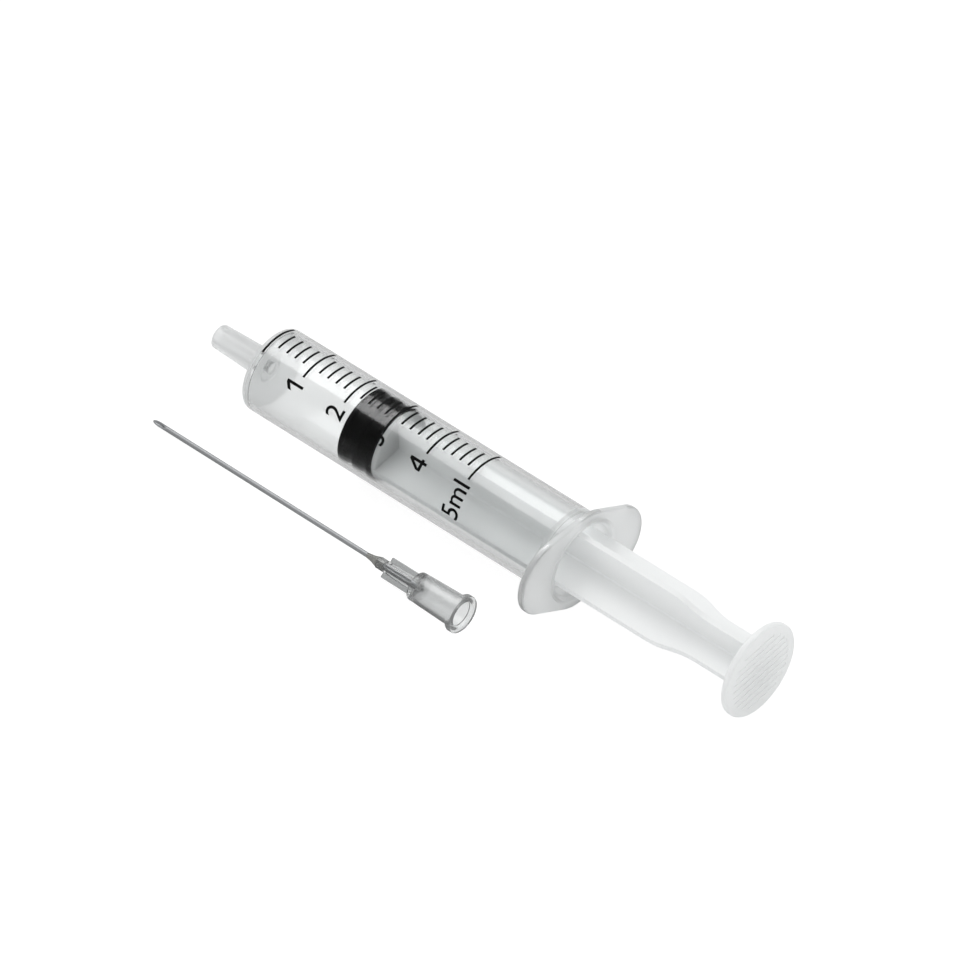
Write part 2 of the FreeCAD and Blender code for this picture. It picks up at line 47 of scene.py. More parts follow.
nozzleLength = 10.7
needleLength = 63.8
barrelAxis = -Vector(mounts["luer_nozzle"]["axis"]).normalized()
barrelFront = Vector(mounts["luer_nozzle"]["pos_m"]) + barrelAxis * nozzleLength * mm
needleAxis = Vector(mounts["needle_socket"]["axis"]).normalized()
needlePoint = Vector(mounts["needle_socket"]["pos_m"]) - needleAxis * needleLength * mm
turns = {"flange": -15.466, "rod": 3.7, "needle": 35.0}  # degrees about each piece's own axis


def placing(start, axis, turn):
    yaw = Matrix.Rotation(math.atan2(axis.y, axis.x), 4, "Z")
    lean = Matrix.Rotation(-math.asin(axis.z), 4, "Y")
    rotation = yaw @ lean @ Matrix.Rotation(math.radians(turn), 4, "X")
    return Matrix.Translation(start) @ rotation


# small helpers

def hexColour(text):
    parts = [int(text[i:i + 2], 16) / 255 for i in (1, 3, 5)]
    linear = [p / 12.92 if p <= 0.04045 else ((p + 0.055) / 1.055) ** 2.4 for p in parts]  # sRGB to linear
    return (*linear, 1.0)


def onlySelect(piece):
    if bpy.context.object and bpy.context.object.mode != "OBJECT":
        bpy.ops.object.mode_set(mode="OBJECT")
    bpy.ops.object.select_all(action="DESELECT")
    piece.select_set(True)
    bpy.context.view_layer.objects.active = piece


def editAll(piece):
    onlySelect(piece)
    bpy.ops.object.mode_set(mode="EDIT")
    bpy.ops.mesh.select_mode(type="VERT")
    bpy.ops.mesh.select_all(action="SELECT")


def applyAll(piece):
    onlySelect(piece)
    bpy.ops.object.transform_apply(location=True, rotation=True, scale=True)


def arc(centreX, centreR, radius, startDeg, endDeg, count=5):
    # stations of a rounding, as (along, out), angles counted from +X towards outward
    steps = [math.radians(startDeg + (endDeg - startDeg) * i / (count - 1)) for i in range(count)]
    return [(centreX + radius * math.cos(a), centreR + radius * math.sin(a)) for a in steps]


def turnedPiece(name, stations, steps):
    # a ring is drawn at the first station and drawn out from each station to the next, as on a lathe. On the axis it
    # is a ring of nearly no radius, until the doubles are merged
    pole, merge = 1e-4, 4e-4  # millimetres
    x, r = stations[0]
    bpy.ops.mesh.primitive_circle_add(
        vertices=steps, radius=max(r, pole) * mm, location=(x * mm, 0, 0), rotation=(0, math.pi / 2, 0))
    piece = bpy.context.object
    piece.name = name
    applyAll(piece)
    editAll(piece)
    for nextX, nextR in stations[1:]:
        bpy.ops.mesh.extrude_region_move(TRANSFORM_OT_translate={"value": ((nextX - x) * mm, 0, 0)})
        grow = max(nextR, pole) / max(r, pole)
        bpy.ops.transform.resize(value=(1, grow, grow), center_override=(nextX * mm, 0, 0))
        x, r = nextX, nextR
    bpy.ops.mesh.select_all(action="SELECT")
    bpy.ops.mesh.remove_doubles(threshold=merge * mm)
    bpy.ops.mesh.normals_make_consistent(inside=False)
    bpy.ops.object.mode_set(mode="OBJECT")
    return piece


def drawOut(flat, middle, shift):
    # the edge whose middle is nearest to a place is drawn out by a shift, both in millimetres
    points = flat.data.vertices
    places = {edge.index: sum((points[v].co for v in edge.vertices), Vector()) / 2 / mm for edge in flat.data.edges}
    nearest = min(places, key=lambda index: (places[index] - Vector(middle)).length)
    ends = set(flat.data.edges[nearest].vertices)
    editAll(flat)
    bpy.ops.mesh.select_all(action="DESELECT")
    bpy.ops.object.mode_set(mode="OBJECT")
    for v in flat.data.vertices:
        v.select = v.index in ends
    bpy.ops.object.mode_set(mode="EDIT")
    bpy.ops.mesh.select_mode(type="EDGE")
    bpy.ops.mesh.extrude_region_move(TRANSFORM_OT_translate={"value": tuple(s * mm for s in shift)})
    bpy.ops.object.mode_set(mode="OBJECT")


def combine(piece, tool, how):
    onlySelect(piece)
    cut = piece.modifiers.new("combine", "BOOLEAN")
    cut.operation = how
    cut.solver = "EXACT"
    cut.object = tool
    bpy.ops.object.modifier_apply(modifier=cut.name)
    bpy.data.objects.remove(tool)
    return piece


def finishPiece(piece, start, axis, turn, material, body, replaced=(), second=None, isSecond=None):
    # finish, smooth shading below sharpDeg, and the place. The second finish goes on the faces that isSecond picks
    sharpDeg = 32
    piece.data.materials.clear()
    piece.data.materials.append(material)
    if second:
        piece.data.materials.append(second)
        for face in piece.data.polygons:
            face.material_index = 1 if isSecond(face.center / mm) else 0
    onlySelect(piece)
    bpy.ops.object.shade_smooth_by_angle(angle=math.radians(sharpDeg))
    weigh = piece.modifiers.new("weigh", "WEIGHTED_NORMAL")
    weigh.keep_sharp = True
    bpy.ops.object.modifier_apply(modifier=weigh.name)
    piece.matrix_world = placing(start, axis, turn)
    applyAll(piece)
    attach(piece, body)
    if replaced:
        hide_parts(*replaced)
    print("made", piece.name, len(piece.data.polygons), "faces")


# materials

def newMaterial(name):
    material = bpy.data.materials.new(name)
    material.use_nodes = True
    material.node_tree.nodes.clear()
    return material


def addNode(material, kind, settings=None, links=None):
    # settings: a socket's name or number, or a property, to its value. links: a socket to (node, its output)
    node = material.node_tree.nodes.new(kind)
    for key, value in (settings or {}).items():
        if isinstance(key, int) or key in node.inputs:
            node.inputs[key].default_value = value
        else:
            setattr(node, key, value)
    for key, (source, output) in (links or {}).items():
        material.node_tree.links.new(source.outputs[output], node.inputs[key])
    return node


def mouldedBump(material, grainMm, strength, distanceMm):
    # the faint unevenness of a moulded wall, at a size in millimetres
    place = addNode(material, "ShaderNodeTexCoord")
    wave = addNode(material, "ShaderNodeTexNoise", {
        "Scale": 1 / (grainMm * mm), "Detail": 2.0, "Roughness": 0.45,
    }, {"Vector": (place, "Object")})
    return addNode(material, "ShaderNodeBump", {
        "Strength": strength, "Distance": distanceMm * mm,
    }, {"Height": (wave, "Fac")})


def polypropylene(name, colour, roughness, clear, milky, grainMm, bumpMm=0.01):
    # polypropylene, injection moulded. clear is the share of light that goes through, milky the share that glows
    # from behind, and grainMm the size of its flow marks
    material = newMaterial(name)
    bump = mouldedBump(material, grainMm, strength=0.2, distanceMm=bumpMm)
    surface = addNode(material, "ShaderNodeBsdfPrincipled", {
        "Base Color": hexColour(colour), "Roughness": roughness, "IOR": 1.49, "Transmission Weight": clear,
    }, {"Normal": (bump, "Normal")})
    glow = addNode(material, "ShaderNodeBsdfTranslucent", {"Color": hexColour(colour)}, {"Normal": (bump, "Normal")})
    both = addNode(material, "ShaderNodeMixShader", {"Fac": milky}, {1: (surface, 0), 2: (glow, 0)})
    if clear > 0.5:  # a lamp's light goes on through a clear wall, which throws next to no shadow
        path = addNode(material, "ShaderNodeLightPath")
        share = addNode(material, "ShaderNodeMath", {"operation": "MULTIPLY", 1: clear}, {0: (path, "Is Shadow Ray")})
        passing = addNode(material, "ShaderNodeBsdfTransparent", {"Color": hexColour(colour)})
        both = addNode(material, "ShaderNodeMixShader", {}, {"Fac": (share, "Value"), 1: (both, 0), 2: (passing, 0)})
    addNode(material, "ShaderNodeOutputMaterial", {}, {"Surface": (both, "Shader")})
    return material


def butylRubber():
    # halobutyl rubber, compression moulded, with a wipe of silicone oil: deep black, soft gloss, fine speckle
    look = {
        "dark": "#040404", "light": "#0A0A0A", "speckMm": 0.25, "roughLow": 0.22, "roughHigh": 0.34,
        "bump": 0.15, "bumpMm": 0.004, "gloss": 0.06,
    }
    material = newMaterial("butylRubber")
    place = addNode(material, "ShaderNodeTexCoord")
    speck = addNode(material, "ShaderNodeTexNoise", {
        "Scale": 1 / (look["speckMm"] * mm), "Detail": 3.0,
    }, {"Vector": (place, "Object")})
    tone = addNode(material, "ShaderNodeMix", {
        "data_type": "RGBA", 6: hexColour(look["dark"]), 7: hexColour(look["light"]),
    }, {0: (speck, "Fac")})
    rough = addNode(material, "ShaderNodeMapRange", {
        "To Min": look["roughLow"], "To Max": look["roughHigh"],
    }, {"Value": (speck, "Fac")})
    bump = addNode(material, "ShaderNodeBump", {
        "Strength": look["bump"], "Distance": look["bumpMm"] * mm,
    }, {"Height": (speck, "Fac")})
    surface = addNode(material, "ShaderNodeBsdfPrincipled", {"IOR": 1.5, "Specular IOR Level": look["gloss"]}, {
        "Base Color": (tone, 2), "Roughness": (rough, "Result"), "Normal": (bump, "Normal"),
    })
    addNode(material, "ShaderNodeOutputMaterial", {}, {"Surface": (surface, "BSDF")})
    return material


def groundSteel():
    # stainless tube, drawn and ground: fine lines round it, bright but not a mirror
    look = {"colour": "#B4B6B8", "metal": 0.55, "roughLow": 0.42, "roughHigh": 0.55, "lineMm": 0.06, "stretch": 0.12}
    material = newMaterial("groundSteel")
    place = addNode(material, "ShaderNodeTexCoord")
    turn = addNode(material, "ShaderNodeMapping", {
        "Scale": (1.0, look["stretch"], look["stretch"]),
    }, {"Vector": (place, "Object")})
    lines = addNode(material, "ShaderNodeTexNoise", {
        "Scale": 1 / (look["lineMm"] * mm), "Detail": 2.0,
    }, {"Vector": (turn, "Vector")})
    rough = addNode(material, "ShaderNodeMapRange", {
        "To Min": look["roughLow"], "To Max": look["roughHigh"],
    }, {"Value": (lines, "Fac")})
    surface = addNode(material, "ShaderNodeBsdfPrincipled", {
        "Base Color": hexColour(look["colour"]), "Metallic": look["metal"],
    }, {"Roughness": (rough, "Result")})
    addNode(material, "ShaderNodeOutputMaterial", {}, {"Surface": (surface, "BSDF")})
    return material


def curedEpoxy():
    # epoxy, cured in the well under ultraviolet light: glassy with a warm grey cast
    material = newMaterial("curedEpoxy")
    bump = mouldedBump(material, grainMm=0.8, strength=0.3, distanceMm=0.01)
    surface = addNode(material, "ShaderNodeBsdfPrincipled", {
        "Base Color": hexColour("#C6C6C2"), "Roughness": 0.08, "IOR": 1.52, "Transmission Weight": 0.7,
    }, {"Normal": (bump, "Normal")})
    addNode(material, "ShaderNodeOutputMaterial", {}, {"Surface": (surface, "BSDF")})
    return material


def padInk():
    # pad-printed ink: black, thin, nearly matt, with tiny pinholes of lighter tone
    look = {"dark": "#060606", "light": "#101010", "pinMm": 0.12, "rough": 0.55, "gloss": 0.15}
    material = newMaterial("padInk")
    place = addNode(material, "ShaderNodeTexCoord")
    pin = addNode(material, "ShaderNodeTexNoise", {
        "Scale": 1 / (look["pinMm"] * mm), "Detail": 2.0,
    }, {"Vector": (place, "Object")})
    tone = addNode(material, "ShaderNodeMix", {
        "data_type": "RGBA", 6: hexColour(look["dark"]), 7: hexColour(look["light"]),
    }, {0: (pin, "Fac")})
    surface = addNode(material, "ShaderNodeBsdfPrincipled", {
        "Roughness": look["rough"], "Specular IOR Level": look["gloss"],
    }, {"Base Color": (tone, 2)})
    addNode(material, "ShaderNodeOutputMaterial", {}, {"Surface": (surface, "BSDF")})
    return material


# polished mould: bright, clear walls
clear = polypropylene(
    "clarifiedPolypropylene", "#F3F4F4", roughness=0.12, clear=1.0, milky=0.012, grainMm=9.0, bumpMm=0.02)
# the same plastic from a matt mould: milky
frosted = polypropylene("sparkErodedPolypropylene", "#E9EAEA", roughness=0.36, clear=0.55, milky=0.35, grainMm=2.0)
# no clarifier: milky white, satin
natural = polypropylene("naturalPolypropylene", "#F5F6F6", roughness=0.34, clear=0.12, milky=0.42, grainMm=3.0)
# the rod's plastic, shiny in the rounded roots of its ribs, and a little lighter in colour there: a painted highlight
# along the roots
polishedWithPaintedHighlight = polypropylene("polishedPolypropyleneWithPaintedHighlight", "#F8F9F9", roughness=0.12, clear=0.12, milky=0.42, grainMm=3.0)
# smoky and see-through
tinted = polypropylene("tintedPolypropylene", "#E3E4E4", roughness=0.2, clear=0.95, milky=0.04, grainMm=1.5)
# the same on the thin fins, with its colour darkened: painted shade
tintedWithPaintedShade = polypropylene("tintedPolypropyleneWithPaintedShade", "#A9ABAB", roughness=0.2, clear=0.95, milky=0.04, grainMm=1.5)
rubber = butylRubber()
steel = groundSteel()
epoxy = curedEpoxy()
ink = padInk()
print("materials ready")

# barrel

barrel = {
    "wall": 7.0, "bore": 6.2, "length": 62.5,  # outside and inside radius, and length behind the front wall
    "tip": 1.99, "taper": 0.03, "tipRound": 0.2, "tipLeadIn": 0.12, "nozzleBore": 1.0,
    "floorRise": 0.6, "shoulderRound": 0.7, "rootRound": 0.4, "rootSink": 0.93,  # rootSink is in radii
    "floorEdge": 0.95, "floorRound": 0.3, "boreLip": 0.15, "boreLipRise": 0.03,  # the wall inside, round the bore
    "beadHeight": 0.2, "beadWidth": 1.2, "beadInset": 3.6, "leadIn": 0.45,
    "flangeThickness": 1.22, "flangeFront": 61.2, "reach": 7.5, "lobe": 6.35, "middle": 8.35, "edgeRound": 0.35,
    "fillet": 0.4, "filletSink": 0.02, "collar": 7.25, "collarRound": 0.15, "collarFrom": 0.4, "collarTo": 0.5,
    "holeInset": 0.3, "holeDepth": 6.0,
    "mattNozzle": 0.3, "mattEdge": 0.1, "mattBeforeFlange": 0.45, "mattFlangeOut": 0.2,
}


def nozzleRadius(x):
    return barrel["tip"] + barrel["taper"] * (nozzleLength + x)


def makeTube():
    b = barrel
    # outside, from the nozzle's tip back
    tip, root, shoulder = b["tipRound"], b["rootRound"], b["shoulderRound"]
    rootX = -b["floorRise"]
    slope = math.degrees(math.atan2(b["floorRise"], b["wall"] - nozzleRadius(rootX)))
    shoulderX = shoulder / math.cos(math.radians(slope)) - math.tan(math.radians(slope)) * shoulder
    stations = [(-nozzleLength, b["nozzleBore"] + b["tipLeadIn"])]
    stations += arc(-nozzleLength + tip, b["tip"] - tip, tip, 180, 92)
    stations += arc(rootX - root * b["rootSink"], nozzleRadius(rootX) + root, root, 272, 360 - slope)
    stations += arc(shoulderX, b["wall"] - shoulder, shoulder, 180 - slope, 90, 7)
    # the round at the flange's root, and the collar behind it
    flange, fillet, collar = b["flangeFront"], b["fillet"], b["collarRound"]
    stations += arc(flange - fillet + b["filletSink"], b["wall"] + fillet, fillet, 270, 355)
    stations += [(flange + b["collarFrom"], b["wall"] + fillet), (flange + b["collarTo"], b["collar"])]
    stations += arc(b["length"] - collar, b["collar"] - collar, collar, 90, 0, 4)
    # inside, from the mouth forwards
    stations += [(b["length"], b["bore"] + b["leadIn"]), (b["length"] - b["leadIn"], b["bore"])]
    for i in range(9):
        share = i / 4 - 1  # from -1 to 1 over the bead
        height = b["beadHeight"] * (1 + math.cos(math.pi * share)) / 2
        stations.append((b["length"] - b["beadInset"] - b["beadWidth"] / 2 * share, b["bore"] - height))
    stations += arc(b["floorEdge"] + b["floorRound"], b["bore"] - b["floorRound"], b["floorRound"], 90, 173)
    lip = b["floorEdge"] - b["floorRise"]
    stations += [(lip + b["boreLipRise"], b["nozzleBore"] + b["boreLip"]), (lip - b["boreLip"], b["nozzleBore"])]
    stations += [(-nozzleLength + b["tipLeadIn"], b["nozzleBore"]), stations[0]]
    return turnedPiece("barrelShell", stations, 144)


def makeFlange():
    # three discs in a skin, with its edges rounded and a hole for the tube
    b = barrel
    middleX = (b["flangeFront"] + b["flangeThickness"] / 2) * mm
    discs = []
    for out, radius in ((0, b["middle"]), (b["reach"], b["lobe"]), (-b["reach"], b["lobe"])):
        bpy.ops.mesh.primitive_cylinder_add(
            vertices=256, radius=radius * mm, depth=b["flangeThickness"] * mm,
            location=(middleX, out * mm, 0), rotation=(0, math.pi / 2, 0))
        discs.append(bpy.context.object)
        applyAll(bpy.context.object)
    for disc in discs:
        disc.select_set(True)
    bpy.ops.object.join()
    plate = bpy.context.object
    plate.name = "flangePlate"
    editAll(plate)
    bpy.ops.mesh.convex_hull()
    bpy.ops.mesh.select_all(action="SELECT")
    bpy.ops.mesh.dissolve_limited(angle_limit=math.radians(0.5))
    bpy.ops.mesh.select_all(action="DESELECT")
    bpy.ops.object.mode_set(mode="OBJECT")
    for edge in plate.data.edges:
        ends = [plate.data.vertices[v].co.x for v in edge.vertices]
        edge.select = abs(ends[0] - ends[1]) < 1e-4 * mm  # the outlines of both faces
    bpy.ops.object.mode_set(mode="EDIT")
    bpy.ops.mesh.select_mode(type="EDGE")
    bpy.ops.mesh.bevel(offset=b["edgeRound"] * mm, segments=5, affect="EDGES")
    bpy.ops.object.mode_set(mode="OBJECT")
    bpy.ops.mesh.primitive_cylinder_add(
        vertices=144, radius=(b["wall"] - b["holeInset"]) * mm, depth=b["holeDepth"] * mm,
        location=(middleX, 0, 0), rotation=(0, math.pi / 2, 0))
    hole = bpy.context.object
    applyAll(hole)
    return combine(plate, hole, "DIFFERENCE")


def isMattFace(centre):
    # the outsides of nozzle, front wall and flange come from matt parts of the mould, and the mouth from its bead on
    b = barrel
    out = math.hypot(centre.y, centre.z)
    nozzle = out > b["nozzleBore"] + b["mattNozzle"] and centre.x < b["mattNozzle"]
    frontWall = out > b["bore"] + b["mattEdge"] and centre.x < b["shoulderRound"]
    mouth = centre.x > b["length"] - b["beadInset"] - b["beadWidth"] / 2 and out < b["bore"] + b["mattEdge"]
    flange = centre.x > b["flangeFront"] - b["mattBeforeFlange"] and out > b["bore"] + b["mattFlangeOut"]
    return nozzle or frontWall or mouth or flange


shell = combine(makeTube(), makeFlange(), "UNION")

# numerals

numerals = {
    "words": ["1", "2", "3", "4", "5ml"],
    "height": 3.1, "stroke": 0.5, "capShare": 0.69, "bold": 0.03, "narrow": 0.92,
    "flag": (1.0, 0.75), "upperStem": 1.3,  # the 1. upperStem is in strokes
    "bar": 0.85, "barLeft": 1.5, "barRight": 0.55, "slopeEdge": 0.8,  # the 4
    "pitch": 8.281, "zero": 0.5,  # along the barrel
    "edge": 56.5, "digit": 2.1,  # degrees from level to the words' upper ends, and the least room for a word
    "lift": 1.0, "gap": 0.004, "ink": 0.03,
}


def makeSquare(x, y):
    bpy.ops.mesh.primitive_plane_add(size=numerals["stroke"] * mm, location=(x * mm, y * mm, 0))
    applyAll(bpy.context.object)
    return bpy.context.object


def makeFigureOne():
    # a foot, the stem above it in two steps, and the flag from the left side of the upper step
    n = numerals
    s, top = n["stroke"], n["height"]
    upper = n["upperStem"] * s
    one = makeSquare(0, s / 2)
    drawOut(one, (0, s, 0), (0, top - s - upper, 0))
    drawOut(one, (0, top - upper, 0), (0, upper, 0))
    drawOut(one, (-s / 2, top - upper / 2, 0), (-n["flag"][0], -n["flag"][1], 0))
    return one


def makeFigureFour():
    # from the square where stem and bar cross: foot, right end, stem in two steps, bar, and the slope from the bar
    # back to the stem
    n = numerals
    s, top, bar, left, right, edge = n["stroke"], n["height"], n["bar"], -n["barLeft"], n["barRight"], n["slopeEdge"]
    four = makeSquare(0, bar)
    drawOut(four, (0, bar - s / 2, 0), (0, s / 2 - bar, 0))
    drawOut(four, (s / 2, bar, 0), (right - s / 2, 0, 0))
    drawOut(four, (0, bar + s / 2, 0), (0, top - edge - bar - s / 2, 0))
    drawOut(four, (0, top - edge, 0), (0, edge, 0))
    drawOut(four, (-s / 2, bar, 0), (left + s / 2, 0, 0))
    slope = (top - edge - bar + s / 2) / (-s / 2 - left)
    cut = s / slope
    for v in four.data.vertices:
        if v.co.x < (left + 0.01) * mm and v.co.y > bar * mm:
            v.co.x += cut * mm
    drawOut(four, (left + cut / 2, bar, 0), (0, edge, 0))
    run = -s / 2 - left - cut
    drawOut(four, (left + cut, bar + (s + edge) / 2, 0), (run, slope * run, 0))
    editAll(four)
    bpy.ops.mesh.remove_doubles(threshold=0.01 * mm)
    bpy.ops.object.mode_set(mode="OBJECT")
    return four


def makeWord(word):
    bpy.ops.object.text_add()
    text = bpy.context.object
    text.data.body = word
    text.data.size = numerals["height"] / numerals["capShare"] * mm
    text.data.offset = numerals["bold"] * mm
    text.data.resolution_u = 8
    onlySelect(text)
    bpy.ops.object.convert(target="MESH")
    return bpy.context.object


def makeNumerals():
    # each word is laid above the barrel and pressed onto the wall, and all of them together get the ink's thickness
    n = numerals
    made = []
    drawn = {"1": makeFigureOne, "4": makeFigureFour}
    for number, word in enumerate(n["words"], start=1):
        text = drawn[word]() if word in drawn else makeWord(word)
        xs = [v.co.x for v in text.data.vertices]
        ys = [v.co.y for v in text.data.vertices]
        centre = Vector(((max(xs) + min(xs)) / 2, (max(ys) + min(ys)) / 2, 0))
        text.data.transform(Matrix.Diagonal((n["narrow"], 1, 1, 1)) @ Matrix.Translation(-centre))
        editAll(text)
        bpy.ops.mesh.quads_convert_to_tris()
        bpy.ops.mesh.subdivide(number_cuts=3)
        bpy.ops.object.mode_set(mode="OBJECT")
        halfWidth = max((max(xs) - min(xs)) * n["narrow"], n["digit"] * mm) / 2
        middle = math.radians(n["edge"]) - halfWidth / (barrel["wall"] * mm)
        along = Matrix.Translation(((n["zero"] + n["pitch"] * number) * mm, 0, 0))
        lean = Matrix.Rotation(math.pi / 2 - middle, 4, "X")
        above = Matrix.Translation((0, 0, (barrel["wall"] + n["lift"]) * mm))
        text.matrix_world = along @ lean @ above @ Matrix.Rotation(math.pi / 2, 4, "Z")
        wrap = text.modifiers.new("wrap", "SHRINKWRAP")
        wrap.target = shell
        wrap.wrap_method = "PROJECT"
        wrap.use_project_z = True
        wrap.use_negative_direction = True
        wrap.use_positive_direction = False
        wrap.offset = n["gap"] * mm
        onlySelect(text)
        bpy.ops.object.modifier_apply(modifier=wrap.name)
        applyAll(text)
        made.append(text)
    onlySelect(made[0])
    for text in made:
        text.select_set(True)
    bpy.ops.object.join()
    joined = bpy.context.object
    joined.name = "scaleNumerals"
    editAll(joined)
    bpy.ops.mesh.remove_doubles(threshold=0.002 * mm)
    bpy.ops.mesh.normals_make_consistent(inside=False)
    bpy.ops.object.mode_set(mode="OBJECT")
    film = joined.modifiers.new("film", "SOLIDIFY")
    film.thickness = n["ink"] * mm
    film.offset = 1
    bpy.ops.object.modifier_apply(modifier=film.name)
    return joined


digits = makeNumerals()
finishPiece(
    shell, barrelFront, barrelAxis, turns["flange"], clear,
    body="barrel", replaced=["barrel"], second=frosted, isSecond=isMattFace)
finishPiece(digits, barrelFront, barrelAxis, 0, ink, body="barrel")
frame["nodes"]["scale_marks"].data.materials.clear()
frame["nodes"]["scale_marks"].data.materials.append(ink)

# stopper

stopper = {
    "front": 19.1, "out": 6.17, "noseHeight": 0.5, "nose": 1.6, "noseStep": 0.03, "land": 0.5,
    "ribs": 3, "rib": 0.8, "groove": 2.0, "depth": 0.5, "ribRound": 0.2, "grooveRound": 0.25,
    "cavityFront": 21.8, "cavityRear": 24.1, "cavityTip": 1.75, "cavity": 3.05, "neck": 1.95,
}


def makeStopper():
    s = stopper
    tip = s["front"] - s["noseHeight"]
    low = s["out"] - s["depth"]
    step = s["rib"] + s["groove"]
    top, bottom = s["ribRound"], s["grooveRound"]
    stations = [(tip, 0), (tip, s["nose"]), (s["front"] - s["noseStep"], s["out"] - s["land"])]
    for number in range(s["ribs"]):
        start = s["front"] + number * step
        stations += arc(start + top, s["out"] - top, top, 180, 90)
        stations += arc(start + s["rib"] - top, s["out"] - top, top, 90, 0)
        if number < s["ribs"] - 1:
            stations += arc(start + s["rib"] + bottom, low + bottom, bottom, 180, 270)
            stations += arc(start + step - bottom, low + bottom, bottom, 270, 360)
    rear = s["front"] + (s["ribs"] - 1) * step + s["rib"]
    stations += [(rear, s["neck"]), (s["cavityRear"], s["neck"]), (s["cavityRear"], s["cavity"])]
    stations += [(s["cavityFront"], s["cavityTip"]), (s["cavityFront"], 0)]
    return turnedPiece("stopperRubber", stations, 128)


finishPiece(
    makeStopper(), barrelFront, barrelAxis, 0, rubber,
    body="stopper", replaced=["stopper"])

# plunger rod

rod = {
    "headFront": 21.85, "headRear": 24.05, "headTip": 1.7, "head": 3.0, "neck": 1.9,
    "discFront": 25.55, "discRear": 26.45, "disc": 5.8, "discRound": 0.15,
    "reach": 5.9, "thickness": 1.0, "rootRound": 0.35, "tipRound": 0.12, "discSink": 0.4, "thumbSink": 0.5,
    "waistStart": 81.6, "waistEnd": 86.1, "waist": 4.5, "waistRound": 13.5, "core": 1.6,
    "thumbFront": 96.0, "end": 97.2, "thumb": 7.85, "thumbRound": 0.35,
    "ridges": 10, "ridgePitch": 1.2, "ridgeGap": 0.5, "ridgeDepth": 0.08, "ridgeField": 6.3,
    "glossAndHighlightBeyondRoot": 0.1,
}


def waistStations():
    # two straight parts joined by a slope, with a long round at each of its ends
    slope = math.atan2(rod["reach"] - rod["waist"], rod["waistEnd"] - rod["waistStart"])
    r = rod["waistRound"]
    before = r * math.tan(slope / 2)
    steps = 6
    stations = []
    for i in range(steps + 1):
        turn = slope * i / steps
        stations.append((rod["waistStart"] - before + r * math.sin(turn), rod["reach"] - r * (1 - math.cos(turn))))
    for i in range(steps + 1):
        turn = slope * (steps - i) / steps
        stations.append((rod["waistEnd"] + before - r * math.sin(turn), rod["waist"] + r * (1 - math.cos(turn))))
    return stations


def makeCross():
    # the plus-shaped section is pulled out of one small square, then drawn along the rod and drawn in at the waist
    half = rod["thickness"] / 2
    x, out = rod["discRear"] - rod["discSink"], rod["reach"]
    bpy.ops.mesh.primitive_plane_add(
        size=rod["thickness"] * mm, location=(x * mm, 0, 0), rotation=(0, math.pi / 2, 0))
    cross = bpy.context.object
    cross.name = "plungerRod"
    applyAll(cross)
    for y, z in ((0, 1), (0, -1), (1, 0), (-1, 0)):
        drawOut(cross, (x, y * half, z * half), (0, y * (out - half), z * (out - half)))
    editAll(cross)
    bpy.ops.mesh.dissolve_limited(angle_limit=math.radians(1))
    bpy.ops.mesh.select_mode(type="VERT")
    for inner, size, segments in ((True, rod["rootRound"], 4), (False, rod["tipRound"], 2)):
        bpy.ops.mesh.select_all(action="DESELECT")
        bpy.ops.object.mode_set(mode="OBJECT")
        for v in cross.data.vertices:
            far = max(abs(v.co.y), abs(v.co.z))
            v.select = far < 2 * half * mm if inner else far > (rod["reach"] - 1e-3) * mm
        bpy.ops.object.mode_set(mode="EDIT")
        bpy.ops.mesh.bevel(offset=size * mm, segments=segments, affect="VERTICES")
    bpy.ops.mesh.select_all(action="SELECT")
    for nextX, nextOut in waistStations() + [(rod["thumbFront"] + rod["thumbSink"], rod["waist"])]:
        bpy.ops.mesh.select_mode(type="FACE")
        bpy.ops.mesh.extrude_region_move(TRANSFORM_OT_translate={"value": ((nextX - x) * mm, 0, 0)})
        if nextOut != out:
            bpy.ops.object.mode_set(mode="OBJECT")
            shift = (nextOut - out) * mm
            for v in cross.data.vertices:
                if v.select and abs(v.co.y) > rod["core"] * mm:
                    v.co.y += math.copysign(1, v.co.y) * shift
                if v.select and abs(v.co.z) > rod["core"] * mm:
                    v.co.z += math.copysign(1, v.co.z) * shift
            bpy.ops.object.mode_set(mode="EDIT")
        x, out = nextX, nextOut
    bpy.ops.mesh.select_all(action="SELECT")
    bpy.ops.mesh.normals_make_consistent(inside=False)
    bpy.ops.object.mode_set(mode="OBJECT")
    return cross


def makeHeadAndDisc():
    r = rod
    edge = r["discRound"]
    stations = [(r["headFront"], 0), (r["headFront"], r["headTip"]), (r["headRear"], r["head"])]
    stations += [(r["headRear"], r["neck"]), (r["discFront"], r["neck"]), (r["discFront"], r["disc"] - edge)]
    stations += arc(r["discFront"] + edge, r["disc"] - edge, edge, 170, 90, 3)
    stations += arc(r["discRear"] - edge, r["disc"] - edge, edge, 90, 0, 4) + [(r["discRear"], 0)]
    return turnedPiece("rodHead", stations, 96)


